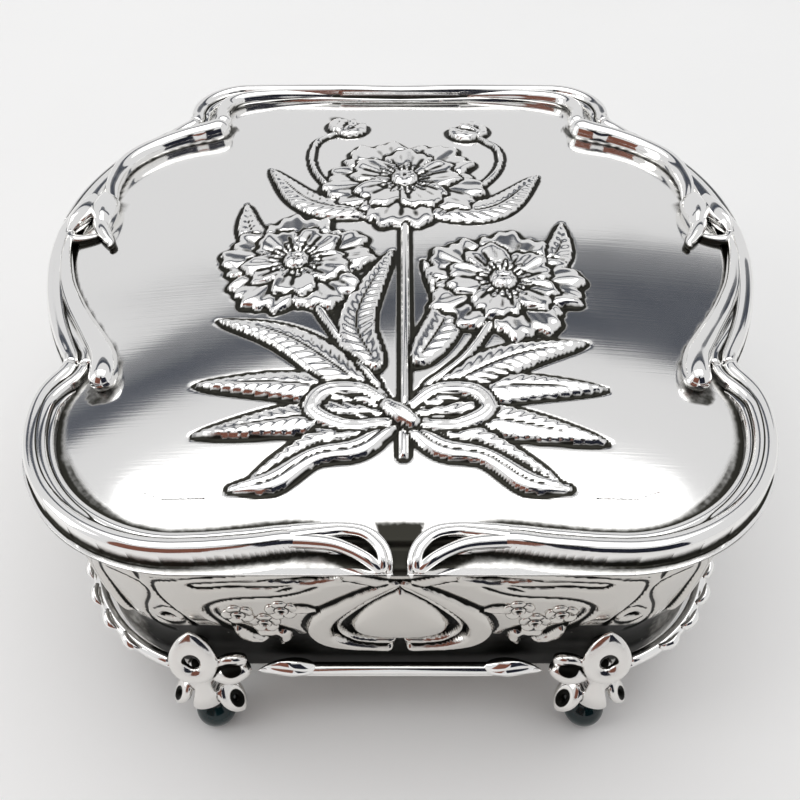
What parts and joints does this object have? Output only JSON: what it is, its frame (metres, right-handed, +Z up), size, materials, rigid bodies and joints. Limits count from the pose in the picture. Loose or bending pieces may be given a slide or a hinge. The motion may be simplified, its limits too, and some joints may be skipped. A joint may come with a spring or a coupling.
{
  "type": "trinket box",
  "caption": "Lobed footed jewellery casket in polished silver plate, with a hinged domed lid, scrolled rim mouldings and a velvet lining.",
  "frame": {"origin": "on the table, under the middle of the whole object's box", "axes": "+X to the object's right seen from the front, +Y from the front to the hinge at the back, +Z up"},
  "size_m": [0.1466, 0.151, 0.0693],
  "materials": {
    "polished_silver": "mirror polished silver plate with dark patina left in the hollows",
    "plain_silver": "duller silver plate, less polished",
    "dark_ball": "glossy, opaque, almost black with a green cast",
    "velvet": "short pile velvet",
    "lining_card": "grey board, hidden under the velvet"
  },
  "bodies": {
    "body": {"body_shell": "polished_silver", "base_plate": "plain_silver", "base_rail_front": "polished_silver", "base_rail_back": "polished_silver", "base_rail_right": "polished_silver", "base_rail_left": "polished_silver", "foot_front_left": "polished_silver", "foot_front_right": "polished_silver", "foot_back_left": "polished_silver", "foot_back_right": "polished_silver", "foot_ball_front_left": "dark_ball", "foot_ball_front_right": "dark_ball", "foot_ball_back_left": "dark_ball", "foot_ball_back_right": "dark_ball", "hinge_leaf_body": "plain_silver", "hinge_pin": "plain_silver", "lining_floor_card": "lining_card", "lining_floor_pad": "velvet", "lining_wall_front": "velvet", "lining_wall_back": "velvet", "lining_wall_right": "velvet", "lining_wall_left": "velvet"},
    "lid": {"lid_shell": "polished_silver", "lid_rim_front_right": "polished_silver", "lid_rim_front_left": "polished_silver", "lid_rim_side_right": "polished_silver", "lid_rim_side_left": "polished_silver", "lid_roll_right": "polished_silver", "lid_roll_left": "polished_silver", "lid_whiplash_right": "polished_silver", "lid_whiplash_left": "polished_silver", "lid_bud_right": "polished_silver", "lid_bud_left": "polished_silver", "lid_rim_back": "polished_silver", "lid_lining_card": "lining_card", "lid_lining_pad": "velvet", "hinge_leaf_lid": "plain_silver"}
  },
  "joints": [
    {"name": "lid_hinge", "type": "hinge", "parent": "body", "child": "lid", "pos_m": [0, 0.07355, 0.05815], "axis": [-1, 0, 0], "range_deg": [0, 100]}
  ]
}
